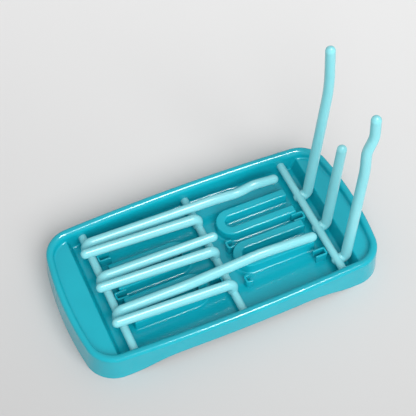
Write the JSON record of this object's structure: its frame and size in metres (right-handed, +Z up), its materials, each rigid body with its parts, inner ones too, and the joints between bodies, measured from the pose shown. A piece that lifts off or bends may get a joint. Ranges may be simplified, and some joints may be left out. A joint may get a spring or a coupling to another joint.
{
  "type": "bottle drying rack",
  "caption": "Shallow rounded drip tray with folding racks of upright prongs that hold upturned baby bottles, teats and cups while they dry.",
  "frame": {"origin": "on the resting plane below the middle of the tray", "axes": "+X along the tray towards the raised rack, +Y across the tray away from the near long side, +Z up"},
  "size_m": [0.2452, 0.1298, 0.1788],
  "materials": {
    "tray_plastic": "teal moulded plastic with a soft satin gloss",
    "rack_plastic": "pale aqua moulded plastic with a soft satin gloss"
  },
  "bodies": {
    "tray": {"tray_shell": "tray_plastic", "right_rear_channel_rib": "tray_plastic", "right_front_channel_rib": "tray_plastic", "left_rear_channel_rib": "tray_plastic", "left_front_channel_rib": "tray_plastic", "right_rear_outer_clip": "tray_plastic", "right_front_outer_clip": "tray_plastic", "left_rear_outer_clip": "tray_plastic", "left_front_outer_clip": "tray_plastic", "right_rear_inner_clip": "tray_plastic", "right_front_inner_clip": "tray_plastic", "left_inner_clip": "tray_plastic"},
    "left_rack": {"left_axle": "rack_plastic", "left_rear_tine": "rack_plastic", "left_centre_tine": "rack_plastic", "left_front_tine": "rack_plastic"},
    "middle_rack": {"middle_axle": "rack_plastic", "middle_rear_tine": "rack_plastic", "middle_centre_tine": "rack_plastic", "middle_front_tine": "rack_plastic"},
    "right_rack": {"right_axle": "rack_plastic", "right_rear_tine": "rack_plastic", "right_centre_tine": "rack_plastic", "right_front_tine": "rack_plastic"}
  },
  "joints": [
    {"name": "left_rack_hinge", "type": "hinge", "parent": "tray", "child": "left_rack", "pos_m": [-0.085, 0, 0.01485], "axis": [0, -1, 0], "range_deg": [0, 93.8]},
    {"name": "middle_rack_hinge", "type": "hinge", "parent": "tray", "child": "middle_rack", "pos_m": [0.0018, 0, 0.0117], "axis": [0, 1, 0], "range_deg": [0, 75]},
    {"name": "right_rack_hinge", "type": "hinge", "parent": "tray", "child": "right_rack", "pos_m": [0.085, 0, 0.01485], "axis": [0, -1, 0], "range_deg": [0, 93]}
  ]
}
